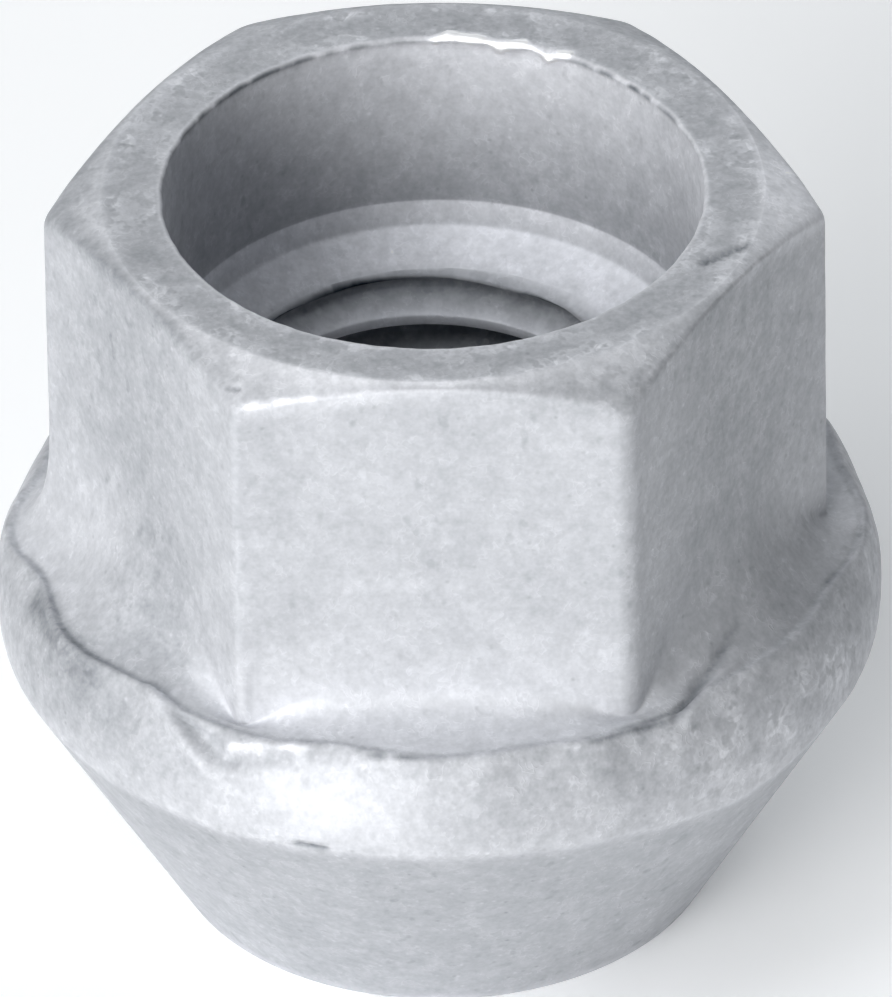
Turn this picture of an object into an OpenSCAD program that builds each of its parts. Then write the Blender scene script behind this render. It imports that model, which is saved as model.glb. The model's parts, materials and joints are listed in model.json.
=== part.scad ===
// Wheel nut with a conical seat, forged and turned from one piece of steel and open at both ends.
// It stands on its nose: the thread axis is +Z, the hexagon is at the top,
// and the origin is on the axis in the plane of the nose.

/* [Hexagon] */
// Height of the whole nut
nut_height = 22.3; // [20.5:0.1:27]
// Width of the hexagon across its flats
across_flats = 19; // [17.5:0.1:19.8]
// Radius of the six upright edges
edge_radius = 0.4; // [0.2:0.05:1]
// How far the edge of the top face lies inside the flats
chamfer_inset = 0.25; // [0.05:0.05:0.6]
// Slope of the corner chamfer, in degrees below the top face
chamfer_slope = 24; // [10:1:40]

/* [Counterbore] */
// Diameter of the counterbore in the hexagon
counterbore_d = 15.1; // [13.6:0.1:16]
// Depth of its straight wall, from the top face
counterbore_depth = 5.55; // [3:0.1:7]
// Size of the broken edge at its mouth
mouth_bevel = 0.2; // [0.05:0.05:0.4]
// Height of the steep band between the straight wall and the drilled floor
band_height = 0.6; // [0.2:0.1:1.2]
// How far the steep band narrows the bore on each side
band_inset = 0.25; // [0.05:0.05:0.5]
// Full angle of the drilled floor
floor_angle = 120; // [100:1:150]

/* [Thread] */
// Nominal diameter of the stud thread
thread_d = 12; // [9:0.5:12.5]
// Pitch of the stud thread
thread_pitch = 1.5; // [1:0.25:1.75]
// How much wider than the thread the lead-in at the nose is
lead_oversize = 0.8; // [0.2:0.1:1.4]
// Full angle of the lead-in
lead_angle = 90; // [60:1:120]

/* [Seat and flange] */
// Diameter of the seat at its wide end
seat_d = 24.8; // [24.4:0.1:27]
// Full angle of the conical seat
seat_angle = 60; // [54:1:70]
// Outer diameter of the flat ring on the nose
nose_d = 15.4; // [14.6:0.1:17]
// Height of the flange, from the seat to its shoulder
flange_height = 3.2; // [2.4:0.1:3.5]
// Radius of the flange's bulging side
bulge_radius = 5; // [4.4:0.1:8]
// Height of the bulge's widest point above the seat
bulge_rise = 0.4; // [0:0.05:0.8]
// Width of the flat shoulder between the bulge and the crease
shoulder_width = 0.12; // [0.06:0.02:0.3]
// Depth of the crease under the shoulder
crease_depth = 0.1; // [0.05:0.01:0.2]
// Height above the crease at which the flare meets the middle of a flat
flare_height = 0.8; // [0.3:0.05:1.6]

/* [Hidden] */
$fn = 96;

// How far a cut runs past the surface it opens
cut_over = 1;
// How far hidden ends run into the piece they join
overlap = 0.3;
// Straight steps round each upright edge of the hexagon
edge_steps = 6;
// Sides of the hexagon, and the angle from one corner to the middle of a flat
sides = 6;
half_side = 180 / sides;
// Depth of a full internal thread for each millimetre of pitch, on the diameter
thread_depth_ratio = 1.0825;

flat_r = across_flats / 2;
corner_r = flat_r / cos(half_side);
edge_centre_r = corner_r - edge_radius / cos(half_side);
chamfer_r = flat_r - chamfer_inset;
chamfer_fall = (corner_r - chamfer_r) * tan(chamfer_slope);

counterbore_r = counterbore_d / 2;
wall_foot_z = nut_height - counterbore_depth;
band_foot_r = counterbore_r - band_inset;
band_foot_z = wall_foot_z - band_height;

bore_r = (thread_d - thread_depth_ratio * thread_pitch) / 2;
bore_top_z = band_foot_z - (band_foot_r - bore_r) / tan(floor_angle / 2);
lead_r = (thread_d + lead_oversize) / 2;
lead_slope = tan(lead_angle / 2);
lead_top_z = (lead_r - bore_r) / lead_slope;

seat_r = seat_d / 2;
nose_r = nose_d / 2;
seat_z = (seat_r - nose_r) / tan(seat_angle / 2);
shoulder_z = seat_z + flange_height;
bulge_z = seat_z + bulge_rise;
bulge_centre_r = seat_r - sqrt(pow(bulge_radius, 2) - pow(bulge_rise, 2));
shoulder_r = bulge_centre_r + sqrt(pow(bulge_radius, 2) - pow(flange_height - bulge_rise, 2));
crease_r = shoulder_r - shoulder_width - crease_depth;
crease_z = shoulder_z - crease_depth;

// The flare's arc leaves the crease level and meets the middle of a flat at flare_height
flare_reach = crease_r - flat_r;
flare_radius = (pow(flare_reach, 2) + pow(flare_height, 2)) / (2 * flare_height);
flare_top_z = crease_z + flare_height + overlap;

// Outline of the hexagon with its upright edges rounded
module hexagon_outline() {
    polygon([
        for (corner = [0 : sides - 1])
            for (step = [0 : edge_steps])
                let (
                    to_corner = corner * 2 * half_side,
                    turn = to_corner + half_side * (2 * step / edge_steps - 1)
                )
                    [
                        edge_centre_r * cos(to_corner) + edge_radius * cos(turn),
                        edge_centre_r * sin(to_corner) + edge_radius * sin(turn)
                    ]
    ]);
}

// Half section of the space under the top face and the corner chamfer
module chamfer_section() {
    polygon([
        [0, seat_z],
        [corner_r, seat_z],
        [corner_r, nut_height - chamfer_fall],
        [chamfer_r, nut_height],
        [0, nut_height]
    ]);
}

// Hexagon with its top corners turned off
module hexagon() {
    intersection() {
        translate([0, 0, seat_z])
            linear_extrude(height = nut_height - seat_z)
                hexagon_outline();
        rotate_extrude()
            chamfer_section();
    }
}

// Half section of the seat cone and the core above it
module seat_section() {
    polygon([
        [0, 0],
        [nose_r, 0],
        [seat_r, seat_z],
        [crease_r, crease_z - overlap],
        [0, crease_z - overlap]
    ]);
}

// Half section of the bulging flange, with its shoulder and the slope down into the crease
module flange_section() {
    intersection() {
        translate([bulge_centre_r, bulge_z])
            circle(r = bulge_radius);
        polygon([
            [crease_r, seat_z],
            [seat_r + cut_over, seat_z],
            [seat_r + cut_over, shoulder_z],
            [crease_r + crease_depth, shoulder_z],
            [crease_r, crease_z]
        ]);
    }
}

// Half section of the flare that spreads from the foot of the hexagon to the crease
module flare_section() {
    difference() {
        translate([0, seat_z])
            square([crease_r, flare_top_z - seat_z]);
        translate([crease_r, crease_z + flare_radius])
            circle(r = flare_radius);
    }
}

// Half section of everything taken out along the axis: counterbore, drilled floor, thread bore and lead-in
module bore_section() {
    polygon([
        [0, -cut_over],
        [lead_r + cut_over * lead_slope, -cut_over],
        [bore_r, lead_top_z],
        [bore_r, bore_top_z],
        [band_foot_r, band_foot_z],
        [counterbore_r, wall_foot_z],
        [counterbore_r, nut_height - mouth_bevel],
        [counterbore_r + mouth_bevel + cut_over, nut_height + cut_over],
        [0, nut_height + cut_over]
    ]);
}

// The nut: hexagon on a flanged seat, bored through
module lug_nut() {
    color([0.76, 0.77, 0.79])
        difference() {
            union() {
                hexagon();
                rotate_extrude()
                    union() {
                        seat_section();
                        flange_section();
                        flare_section();
                    }
            }
            rotate_extrude()
                bore_section();
        }
}

lug_nut();
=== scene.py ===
"""Looks of a forged wheel nut with a conical seat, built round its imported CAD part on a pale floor."""

import json
import math
import typing

import bpy
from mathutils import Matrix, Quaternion, Vector


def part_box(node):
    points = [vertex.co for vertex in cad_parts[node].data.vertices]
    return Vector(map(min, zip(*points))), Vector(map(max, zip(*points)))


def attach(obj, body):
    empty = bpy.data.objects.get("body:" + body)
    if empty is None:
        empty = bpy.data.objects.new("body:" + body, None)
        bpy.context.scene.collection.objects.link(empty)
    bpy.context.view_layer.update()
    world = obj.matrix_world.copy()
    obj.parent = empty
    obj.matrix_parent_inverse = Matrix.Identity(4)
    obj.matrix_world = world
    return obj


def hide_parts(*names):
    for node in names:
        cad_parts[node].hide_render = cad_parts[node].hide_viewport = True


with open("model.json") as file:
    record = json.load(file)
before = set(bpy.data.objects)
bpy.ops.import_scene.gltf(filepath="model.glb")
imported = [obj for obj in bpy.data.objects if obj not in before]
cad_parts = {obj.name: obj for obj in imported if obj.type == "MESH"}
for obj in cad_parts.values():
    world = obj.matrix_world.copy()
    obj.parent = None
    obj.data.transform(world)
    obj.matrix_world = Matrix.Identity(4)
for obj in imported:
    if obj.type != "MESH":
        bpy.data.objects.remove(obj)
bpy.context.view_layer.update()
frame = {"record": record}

bl_info = {
    "name": "Forged wheel nut",
    "version": (1, 0, 0),
    "blender": (4, 5, 0),
    "location": "3D View > Sidebar > Wheel Nut",
    "description": "Builds a forged wheel nut with a conical seat, its coating and a plain studio",
    "category": "Object",
}

NODE = "lug_nut"
MM = 0.001

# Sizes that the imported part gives
NUT_LOW, NUT_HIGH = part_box(NODE)
MOUNTS = {mount["name"]: mount for mount in frame["record"]["mounts"]}
THREAD_R = MOUNTS["stud_thread"]["dims"]["r_mm"] * MM
COUNTERBORE_R = MOUNTS["counterbore"]["dims"]["r_mm"] * MM

# Columns of faces round the nut: how many a side of the hexagon has, how many of them one of the thread's
# columns meets, and how far they crowd towards the hexagon's corners
SIDES = 6
SIDE_ANGLE = 2 * math.pi / SIDES
HALF_SIDE = SIDE_ANGLE / 2
COLUMNS_PER_SIDE = 66
COLUMNS = SIDES * COLUMNS_PER_SIDE
THREAD_THINNING = 3
THREAD_COLUMNS = COLUMNS // THREAD_THINNING
CROWDING = 0.4
MERGE_DISTANCE = 0.001 * MM

# Half of a unit grid, and how near to its first or last row a point counts as on it
GRID_HALF = 0.5
ROW_MARGIN = 0.001

# Middle of what a noise gives
NOISE_MIDDLE = 0.5

# Name of the attribute that carries the finish, with the painted light and shade in its tone, to the material
FINISH = "finish"


class Patch(typing.NamedTuple):
    """Another finish on part of the nut's round: its middle and its spread in degrees, and the finish"""

    azimuth: float
    spread: float
    finish: tuple


# Finish of the skin at each corner of the section: how far it is rubbed bright, how rough forging left it,
# and how much lighter than the plain coating it is, which in many places is painted light or painted shade.
# Patches are laid in order over the finish above them.
# Azimuths run from +X towards +Y, so 270 faces the camera
NOSE = (0.1, 0.2, 0.0)
# The seat is darker in tone as painted shade, offsetting the light that the floor's glow throws on it
SEAT = (0.0, 0.25, -0.14)
SEAT_EDGE = (0.1, 0.45, 0.08)
# The bulge is darker in tone as painted shade, offsetting the light that the floor's glow throws on it
BULGE = (0.0, 0.4, -0.07)
# Patches of the bulge: the scuffed right is rougher and keeps less of the bulge's painted shade, the dull
# left is darker as painted shade, and the bright front is a painted highlight
BULGE_PATCHES = (
    Patch(322, 28, (0.0, 1.1, -0.02)),  # scuffed right
    Patch(210, 14, (0.0, 0.4, -0.34)),  # dull left
    Patch(256, 10, (0.0, 0.2, 0.4)),  # bright front
)
ROLL = (0.15, 0.6, -0.03)
# Painted shade in the crease: faint all round, and darker where the crease's painted shade is strong
FAINT_CREASE_SHADE = (0.0, 0.6, -0.02)
CREASE_PAINTED_SHADE = (0.0, 0.6, -0.3)
# The flare is lighter as painted light, standing in for the light that the flat above throws on it
FLARE = (0.0, 0.35, 0.16)
# Painted shade darkens the flare on the right and on the left
FLARE_PATCHES = (
    Patch(326, 25, (0.0, 0.35, -0.1)),  # right
    Patch(220, 14, (0.0, 0.5, -0.14)),  # left
)
# Painted highlight on the fillet left of the front flat's foot
FILLET_PATCHES = (
    Patch(247, 10, (0.0, 0.35, 0.28)),  # left of the front flat's foot
)
FLAT = (0.0, 0.35, 0.0)
# On the flats, the right and left patches are darker as painted shade, and the upright edge beside the front
# flat is a touch darker as painted shade that tones down its highlight
FLAT_PATCHES = (
    Patch(332, 22, (0.0, 0.5, -0.13)),  # right
    Patch(208, 22, (0.0, 0.4, -0.15)),  # left
    Patch(240.3, 1.4, (0.0, 0.3, -0.03)),  # upright edge beside the front flat
)
# Painted highlight on the chamfer at the right corner, which is also a little rubbed
RIGHT_CHAMFER = Patch(2, 20, (0.1, 0.6, 0.42))
# The chamfer's edge is a darker line of painted shade; at the front it is lighter as a painted highlight, and
# on the left darker as painted shade
CHAMFER_EDGE = (0.1, 0.6, -0.16)
CHAMFER_EDGE_PATCHES = (
    Patch(258, 21, (0.0, 0.45, 0.2)),  # front
    Patch(205, 20, (0.0, 0.5, -0.32)),  # left
    RIGHT_CHAMFER,
)
# The chamfer is lighter than the top face as painted light, and at the front, where it is also a little
# rubbed, lighter still as a painted highlight
CHAMFER = (0.1, 0.6, 0.13)
CHAMFER_PATCHES = (
    Patch(262, 24, (0.1, 0.6, 0.45)),  # front
    RIGHT_CHAMFER,
)
TOP_EDGE = (0.0, 0.95, 0.0)
TOP = (0.0, 0.55, -0.07)
MOUTH = (0.0, 0.85, 0.0)
# The lip of the mouth is lighter as a painted highlight
MOUTH_LIP = (0.0, 0.4, 0.25)
# The edge of the mouth is rubbed and lighter as a painted highlight; on the far sides it carries a painted
# shadow instead
MOUTH_EDGE_RUBBED_AND_LIT = (0.3, 0.5, 0.2)
MOUTH_EDGE_PAINTED_SHADOW = (0.0, 0.4, -0.75)
# The wall is lighter as painted light, most on the far side, which faces the lamps
WALL = (0.0, 0.4, 0.06)
WALL_PATCHES = (
    Patch(75, 45, (0.0, 0.4, 0.2)),  # far side
)
# Painted shade at the foot of the wall
WALL_FOOT = (0.0, 0.4, -0.12)
# The band, its foot, the floor's rim and the drilled floor are lighter as painted light that stands in for
# light bounced round the bore; the band is also a little rubbed
BAND = (0.1, 0.5, 0.3)
BAND_FOOT = (0.0, 0.4, 0.16)
FLOOR_RIM = (0.0, 0.4, 0.46)
FLOOR = (0.0, 0.5, 0.36)
LEAD = (0.0, 0.2, 0.0)


class NutSizes(bpy.types.PropertyGroup):
    """Sizes of the nut's skin"""

    height: bpy.props.FloatProperty(
        name="Height", description="Height of the whole nut", default=NUT_HIGH.z - NUT_LOW.z, unit="LENGTH",
        precision=5)
    across_flats: bpy.props.FloatProperty(
        name="Across flats", description="Width of the hexagon across its flats", default=19 * MM,
        unit="LENGTH", precision=5)
    edge_radius: bpy.props.FloatProperty(
        name="Edge radius", description="Radius of the six upright edges", default=0.4 * MM, unit="LENGTH",
        precision=5)
    chamfer_r: bpy.props.FloatProperty(
        name="Chamfer circle", description="Radius of the circle where the chamfer meets the top face",
        default=9.25 * MM, unit="LENGTH", precision=5)
    chamfer_slope: bpy.props.FloatProperty(
        name="Chamfer slope", description="Slope of the corner chamfer below the top face",
        default=math.radians(24), subtype="ANGLE")
    counterbore_r: bpy.props.FloatProperty(
        name="Counterbore radius", description="Radius of the straight wall in the mouth",
        default=COUNTERBORE_R, unit="LENGTH", precision=5)
    counterbore_depth: bpy.props.FloatProperty(
        name="Counterbore depth", description="Depth of the straight wall", default=5.55 * MM, unit="LENGTH",
        precision=5)
    mouth_bevel: bpy.props.FloatProperty(
        name="Mouth bevel", description="Broken edge at the mouth", default=0.08 * MM, unit="LENGTH",
        precision=5)
    band_height: bpy.props.FloatProperty(
        name="Band height", description="Height of the steep band under the wall", default=0.6 * MM,
        unit="LENGTH", precision=5)
    band_inset: bpy.props.FloatProperty(
        name="Band inset", description="How far the steep band narrows the bore", default=0.25 * MM,
        unit="LENGTH", precision=5)
    thread_r: bpy.props.FloatProperty(
        name="Thread crest radius", description="Radius inside the crests of the stud thread",
        default=THREAD_R, unit="LENGTH", precision=5)
    thread_root_r: bpy.props.FloatProperty(
        name="Thread root radius", description="Radius at the roots of the stud thread", default=6 * MM,
        unit="LENGTH", precision=5)
    thread_pitch: bpy.props.FloatProperty(
        name="Thread pitch", description="Rise of the thread in one turn", default=1.5 * MM, unit="LENGTH",
        precision=5)
    lead_r: bpy.props.FloatProperty(
        name="Lead-in radius", description="Radius of the lead-in cone at the nose", default=6.4 * MM,
        unit="LENGTH", precision=5)
    nose_r: bpy.props.FloatProperty(
        name="Nose radius", description="Outer radius of the ring that the nut stands on", default=7.7 * MM,
        unit="LENGTH", precision=5)
    seat_r: bpy.props.FloatProperty(
        name="Seat radius", description="Radius of the conical seat at its wide end", default=12.38 * MM,
        unit="LENGTH", precision=5)
    seat_height: bpy.props.FloatProperty(
        name="Seat height", description="Height of the seat's wide end", default=8.2 * MM, unit="LENGTH",
        precision=5)
    crease_height: bpy.props.FloatProperty(
        name="Crease height", description="Height of the crease between flange and hexagon",
        default=11.24 * MM, unit="LENGTH", precision=5)
    unevenness: bpy.props.FloatProperty(
        name="Unevenness", description="How far the forged skin strays from its true form", default=0.05 * MM,
        unit="LENGTH", precision=6)


class CoatingLook(bpy.types.PropertyGroup):
    """Look of the coating"""

    coating: bpy.props.FloatVectorProperty(
        name="Coating", description="Colour of the flake coating", default=(0.61, 0.62, 0.645),
        subtype="COLOR", min=0, max=1)
    roughness: bpy.props.FloatProperty(
        name="Roughness", description="Roughness of the unrubbed coating", default=0.82, subtype="FACTOR",
        min=0, max=1)
    metallic: bpy.props.FloatProperty(
        name="Metallic", description="How metallic the flakes look", default=0.8, subtype="FACTOR",
        min=0, max=1)


class StudioLook(bpy.types.PropertyGroup):
    """Light and floor of the studio"""

    floor_colour: bpy.props.FloatVectorProperty(
        name="Floor", description="Colour of the pale floor", default=(0.96, 0.96, 0.96), subtype="COLOR",
        min=0, max=1)
    floor_glow: bpy.props.FloatProperty(
        name="Floor glow", description="Light that comes through the floor", default=0.18, min=0)
    brightness: bpy.props.FloatProperty(
        name="Brightness", description="Factor on the power of every soft light", default=1.0, min=0)


class Term:
    """A node socket in a Python expression: each operator adds a Math node to its tree"""

    def __init__(self, tree, socket):
        self.tree = tree
        self.socket = socket

    def calc(self, operation, *others):
        return self.tree.calc(operation, self, *others)

    def __add__(self, other):
        return self.calc("ADD", other)

    __radd__ = __add__

    def __sub__(self, other):
        return self.calc("SUBTRACT", other)

    def __rsub__(self, other):
        return self.tree.calc("SUBTRACT", other, self)

    def __mul__(self, other):
        return self.calc("MULTIPLY", other)

    __rmul__ = __mul__

    def __truediv__(self, other):
        return self.calc("DIVIDE", other)

    def __rtruediv__(self, other):
        return self.tree.calc("DIVIDE", other, self)

    def __neg__(self):
        return self.calc("MULTIPLY", -1.0)


class Tree:
    """A node tree that is being built"""

    def __init__(self, bl_tree):
        self.bl_tree = bl_tree

    def node(self, kind, settings=None, sockets=None, output=0):
        """Adds a node, makes its settings, then fills or links its sockets, by name or place."""
        made = self.bl_tree.nodes.new(kind)
        for name, value in (settings or {}).items():
            setattr(made, name, value)
        for place, value in (sockets or {}).items():
            self.feed(made.inputs[place], value)
        return Term(self, made.outputs[output])

    def node_output(self, term, name):
        """Another output of the node that a term comes from."""
        return Term(self, term.socket.node.outputs[name])

    def feed(self, socket, value):
        if isinstance(value, Term):
            self.bl_tree.links.new(value.socket, socket)
        else:
            socket.default_value = value

    def calc(self, operation, *values):
        return self.node("ShaderNodeMath", {"operation": operation}, dict(enumerate(values)))

    def vector(self, x=0.0, y=0.0, z=0.0):
        return self.node("ShaderNodeCombineXYZ", None, {0: x, 1: y, 2: z})

    def vector_calc(self, operation, *values):
        output = 1 if operation in ("LENGTH", "DISTANCE", "DOT_PRODUCT") else 0
        return self.node("ShaderNodeVectorMath", {"operation": operation}, dict(enumerate(values)), output)

    def scaled(self, vector, by):
        return self.node("ShaderNodeVectorMath", {"operation": "SCALE"}, {"Vector": vector, "Scale": by})

    def parts(self, vector):
        made = self.node("ShaderNodeSeparateXYZ", None, {0: vector}).socket.node
        return [Term(self, socket) for socket in made.outputs]

    def mixed(self, share, first, second):
        """Blend of two vectors, share being how much there is of the second."""
        settings = {"data_type": "VECTOR", "clamp_factor": False}
        return self.node("ShaderNodeMix", settings, {0: share, 4: first, 5: second}, 1)

    def bezier(self, share, start, corner, end):
        return self.mixed(share, self.mixed(share, start, corner), self.mixed(share, corner, end))

    def bump_round(self, turn, at, spread):
        """1 where the turn about the axis is at, falling away over spread on both sides."""
        sharpness = 1 / (1 - math.cos(math.radians(spread)))
        return (((turn - math.radians(at)).calc("COSINE") - 1) * sharpness).calc("EXPONENT")

    def bumps_round(self, turn, bumps):
        """Sum of bumps round the axis, each given as its azimuth, its spread and its height."""
        total = 0.0
        for at, spread, height in bumps:
            total = total + self.bump_round(turn, at, spread) * height
        return total


def group_sockets(bl_tree, inputs, outputs):
    """Adds the named sockets of a node group: name to type, with a default for each input."""
    for name, (kind, default) in inputs.items():
        socket = bl_tree.interface.new_socket(name, in_out="INPUT", socket_type=kind)
        if default is not None:
            socket.default_value = default
    for name, kind in outputs.items():
        bl_tree.interface.new_socket(name, in_out="OUTPUT", socket_type=kind)


def unit_grid(tree, columns, rows):
    """Flat grid of one by one about the origin, to be bent into shape."""
    sockets = {"Size X": 1.0, "Size Y": 1.0, "Vertices X": columns + 1, "Vertices Y": rows + 1}
    return tree.node("GeometryNodeMeshGrid", None, sockets)


def with_finish(tree, mesh, finish):
    """The mesh with the finish stored at each of its points."""
    settings = {"data_type": "FLOAT_VECTOR", "domain": "POINT"}
    sockets = {"Geometry": mesh, "Name": FINISH, "Value": finish}
    return tree.node("GeometryNodeStoreNamedAttribute", settings, sockets)


def wrapped(tree, grid, place, angle):
    """The grid with each point put at its place in the section, radius and height, turned about the axis."""
    radius, _, height = tree.parts(place)
    position = tree.vector(radius * angle.calc("COSINE"), radius * angle.calc("SINE"), height)
    return tree.node("GeometryNodeSetPosition", None, {"Geometry": grid, "Position": position})


def ribbon_group():
    """Node group for one ribbon of the skin: a strip of faces round the axis along a bend of the section."""
    bl_tree = bpy.data.node_groups.new("Skin ribbon", "GeometryNodeTree")
    vector = ("NodeSocketVector", None)
    group_sockets(
        bl_tree,
        {
            "Rows": ("NodeSocketInt", 1),
            "Angle": ("NodeSocketFloat", 0.0),
            "Start": vector, "Corner": vector, "End": vector,
            "Start finish": vector, "Corner finish": vector, "End finish": vector,
        },
        {"Mesh": "NodeSocketGeometry"})
    tree = Tree(bl_tree)
    given = bl_tree.nodes.new("NodeGroupInput")
    inlet = {socket.name: Term(tree, socket) for socket in given.outputs if socket.name}
    strip = unit_grid(tree, COLUMNS, inlet["Rows"])
    along = tree.parts(tree.node("GeometryNodeInputPosition"))[1] + GRID_HALF
    place = tree.bezier(along, inlet["Start"], inlet["Corner"], inlet["End"])
    finish = tree.bezier(along, inlet["Start finish"], inlet["Corner finish"], inlet["End finish"])
    strip = wrapped(tree, with_finish(tree, strip, finish), place, inlet["Angle"])
    outlet = bl_tree.nodes.new("NodeGroupOutput")
    tree.feed(outlet.inputs["Mesh"], strip)
    return bl_tree


def round_noise(tree, angle, level, scale, detail):
    """Noise that closes after one turn about the axis; each level has its own."""
    place = tree.vector(angle.calc("COSINE"), angle.calc("SINE"), level)
    return tree.node("ShaderNodeTexNoise", None, {"Vector": place, "Scale": scale, "Detail": detail})


def turn_about_axis(tree, sides_passed):
    """Angle about the axis after that many of the hexagon's sides, and its nearness to a corner, 0 to 1."""
    whole = sides_passed.calc("FLOOR")
    across = (sides_passed - whole) * 2 - 1
    eased = across * (1 + CROWDING) - across * across * across * CROWDING
    return (whole + 0.5) * SIDE_ANGLE + eased * HALF_SIDE, eased.calc("ABSOLUTE")


class Corner:
    """A corner of the nut's section: where it is, its finish, how much of the lines before and after it its
    bend takes, and the rows of faces in the bend and in the line that follows"""

    def __init__(self, radius, height, finish, before=0.0, after=0.0, bend_rows=0, line_rows=0):
        self.radius = radius
        self.height = height
        self.finish = finish
        self.before = before
        self.after = after
        self.bend_rows = bend_rows
        self.line_rows = line_rows


# Corners whose upright edge is sharper or rounder than the rest, as azimuth and spread in degrees and
# millimetres of radius
EDGE_STRAYS = ((240, 14, -0.08), (300, 14, 0.3), (180, 14, 0.25), (60, 14, 0.1), (120, 14, 0.25))


def size_values(sizes):
    """The sizes by the names that the tree's inputs have."""
    properties = sizes.bl_rna.properties
    names = [name for name in properties.keys() if name not in ("rna_type", "name")]
    return {properties[name].name: getattr(sizes, name) for name in names}


class NutSkin:
    """The Geometry Nodes tree of the whole nut"""

    def __init__(self, sizes):
        self.sizes = sizes
        self.bl_tree = bpy.data.node_groups.new("Nut skin", "GeometryNodeTree")
        inputs = {name: ("NodeSocketFloat", value) for name, value in size_values(sizes).items()}
        inputs["Material"] = ("NodeSocketMaterial", None)
        group_sockets(self.bl_tree, inputs, {"Mesh": "NodeSocketGeometry"})
        self.tree = Tree(self.bl_tree)
        given = self.bl_tree.nodes.new("NodeGroupInput")
        self.inlet = {socket.name: Term(self.tree, socket) for socket in given.outputs if socket.name}
        self.ribbon = ribbon_group()
        self.meshes = []
        column, row, _ = self.tree.parts(self.tree.node("GeometryNodeInputPosition"))
        self.column = column + GRID_HALF
        self.row = row + GRID_HALF
        self.angle, self.nearness = turn_about_axis(self.tree, self.column * SIDES)
        self.thread_angle = self.thinned_angle()
        self.hexagon_r = self.hexagon_radius()

    def thinned_angle(self):
        """Angle of the columns that the thread's coarser columns meet, the same for all columns near one."""
        nearest = (self.column * THREAD_COLUMNS + 0.5).calc("FLOOR") / THREAD_COLUMNS
        return turn_about_axis(self.tree, nearest * SIDES)[0]

    def hexagon_radius(self):
        """Radius of the hexagon with rounded edges, all the way round."""
        flat_r = self.inlet["Across flats"] / 2
        edge_r = self.inlet["Edge radius"] + self.tree.bumps_round(self.angle, EDGE_STRAYS) * MM
        straight = flat_r / (self.nearness * HALF_SIDE).calc("COSINE")
        centre = (flat_r - edge_r) / math.cos(HALF_SIDE)
        off_corner = (1 - self.nearness) * HALF_SIDE
        sideways = centre * off_corner.calc("SINE")
        room = (edge_r * edge_r - sideways * sideways).calc("MAXIMUM", 0.0)
        rounded = centre * off_corner.calc("COSINE") + room.calc("SQRT")
        is_edge = sideways.calc("LESS_THAN", edge_r * math.sin(HALF_SIDE))
        return straight + (rounded - straight) * is_edge

    def add(self, start, corner, end, finishes, rows, angle=None):
        sockets = {"Rows": rows, "Angle": angle or self.angle, "Start": start, "Corner": corner, "End": end}
        sockets.update(zip(("Start finish", "Corner finish", "End finish"), finishes))
        group = self.tree.node("GeometryNodeGroup", {"node_tree": self.ribbon}, sockets)
        self.meshes.append(group)

    def section(self, corners, angle_at_start=None, angle_at_end=None):
        """Adds the ribbons along an open run of corners, bends first rounded as the corners say."""
        tree = self.tree
        points = [tree.vector(corner.radius, 0.0, corner.height) for corner in corners]
        finishes = [corner.finish for corner in corners]
        last = len(corners) - 1
        for here, corner in enumerate(corners):
            leave, leave_finish = points[here], finishes[here]
            if 0 < here < last and corner.bend_rows:
                enter = tree.mixed(corner.before, points[here], points[here - 1])
                leave = tree.mixed(corner.after, points[here], points[here + 1])
                enter_finish = self.blend(corner.before, finishes[here], finishes[here - 1])
                leave_finish = self.blend(corner.after, finishes[here], finishes[here + 1])
                bend_finishes = (enter_finish, finishes[here], leave_finish)
                self.add(enter, points[here], leave, bend_finishes, corner.bend_rows)
            if here < last and corner.line_rows:
                following = corners[here + 1]
                reach, reach_finish = points[here + 1], finishes[here + 1]
                if here + 1 < last and following.bend_rows:
                    reach = tree.mixed(following.before, points[here + 1], points[here])
                    reach_finish = self.blend(following.before, finishes[here + 1], finishes[here])
                middle = tree.mixed(0.5, leave, reach)
                middle_finish = self.blend(0.5, leave_finish, reach_finish)
                angle = self.angle
                if here == 0 and angle_at_start is not None:
                    angle = angle + (angle_at_start - angle) * self.row.calc("LESS_THAN", ROW_MARGIN)
                if here + 1 == last and angle_at_end is not None:
                    angle = angle + (angle_at_end - angle) * self.row.calc("GREATER_THAN", 1 - ROW_MARGIN)
                line_finishes = (leave_finish, middle_finish, reach_finish)
                self.add(leave, middle, reach, line_finishes, corner.line_rows, angle)

    def blend(self, share, first, second):
        """Finish between two finishes, by nodes only where something in it varies round the nut."""
        if any(isinstance(value, Term) for value in (share, first, second)):
            return self.tree.mixed(share, first, second)
        return tuple(a + (b - a) * share for a, b in zip(first, second))


# The thread: its turns, the height and azimuth of a crest's middle, its section from one crest to the next as
# shares of pitch and depth, and the heights where the floor and the lead-in end it
THREAD_TURNS = 12
CREST_HEIGHT = 14.3 * MM
CREST_AZIMUTH = 94
CREST_MIDDLE = 0.125
THREAD_SECTION = (
    (0.0, 0.1), (0.015, 0.03), (0.04, 0.0), (CREST_MIDDLE, 0.0), (0.21, 0.0), (0.235, 0.03), (0.25, 0.1),
    (0.295, 0.245), (0.34, 0.39), (0.385, 0.535), (0.43, 0.68), (0.52, 0.93), (0.55, 0.99), (0.625, 1.0),
    (0.7, 0.99), (0.73, 0.93), (0.82, 0.68), (0.91, 0.39), (1.0, 0.1))
THREAD_TOP = 15.45 * MM
THREAD_FOOT = 0.36 * MM

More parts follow.
